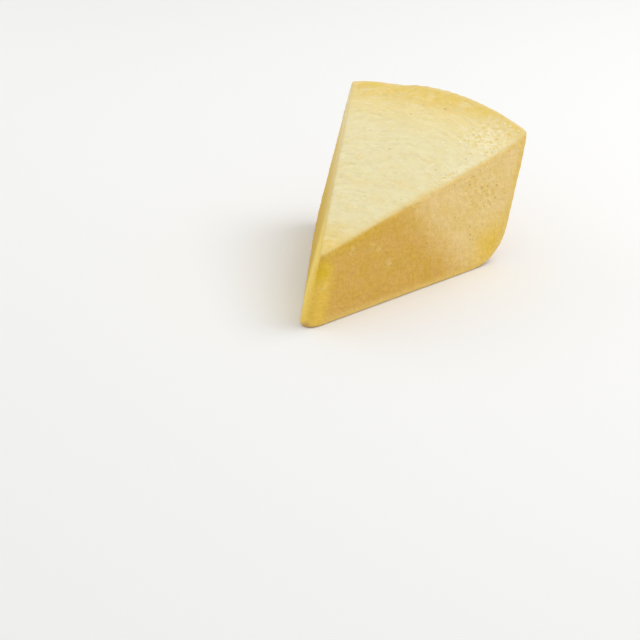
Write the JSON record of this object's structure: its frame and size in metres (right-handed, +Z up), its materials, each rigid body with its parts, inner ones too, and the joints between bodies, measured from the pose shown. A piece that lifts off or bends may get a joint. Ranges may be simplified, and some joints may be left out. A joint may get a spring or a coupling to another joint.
{
  "type": "roumy cheese wedge",
  "caption": "Wedge of hard ripened roumy cheese with a sliced, sloping top, two cut sides and a natural rind, standing on its flat base.",
  "frame": {"origin": "middle of the wedge's box, on the floor that its flat base rests on", "axes": "+Y from the wedge's point towards its rind, +Z up, so +X is to the right for someone who looks from the point to the rind"},
  "size_m": [0.1202, 0.1508, 0.0862],
  "materials": {
    "paste": "satin, slightly translucent cheese paste with a golden margin under a tan rind"
  },
  "bodies": {
    "root": {"cheese_wedge": "paste"}
  },
  "joints": []
}
